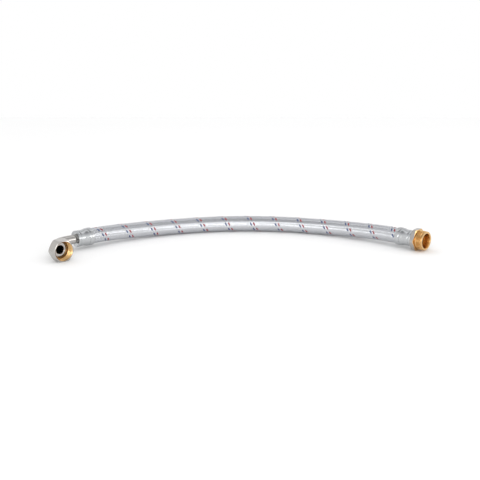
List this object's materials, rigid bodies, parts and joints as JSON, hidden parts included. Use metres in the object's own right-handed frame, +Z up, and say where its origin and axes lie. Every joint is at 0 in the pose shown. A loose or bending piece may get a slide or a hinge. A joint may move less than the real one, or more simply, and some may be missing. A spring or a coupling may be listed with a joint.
{
  "type": "flexible pump hose",
  "caption": "Braided flexible pump hose lying in a shallow arc: a bent pipe with flange and loose union nut at one end, a threaded insert with hexagon collar at the other.",
  "frame": {"origin": "on the floor under the centre of the box round the two end fittings", "axes": "+X from the bent end to the threaded end, +Y towards the crown of the hose's arc, +Z up"},
  "size_m": [0.6463, 0.2235, 0.036],
  "materials": {
    "liner_rubber": "matt black",
    "braid_wire": "woven bright wire",
    "ferrule_steel": "bright pressed sheet",
    "plated_brass": "nickel plated, polished",
    "bare_brass": "turned, collar nickel plated"
  },
  "bodies": {
    "hose": {"hose_liner": "liner_rubber", "wire_braid": "braid_wire", "elbow_ferrule": "ferrule_steel", "straight_ferrule": "ferrule_steel", "elbow_pipe": "plated_brass", "male_insert": "bare_brass"},
    "union_nut": {"union_nut": "plated_brass"}
  },
  "joints": [
    {"name": "union_nut_spin", "type": "hinge", "parent": "hose", "child": "union_nut", "pos_m": [-0.30319, -0.03974, 0.018], "axis": [0.6157, -0.788, 0], "continuous": true}
  ]
}
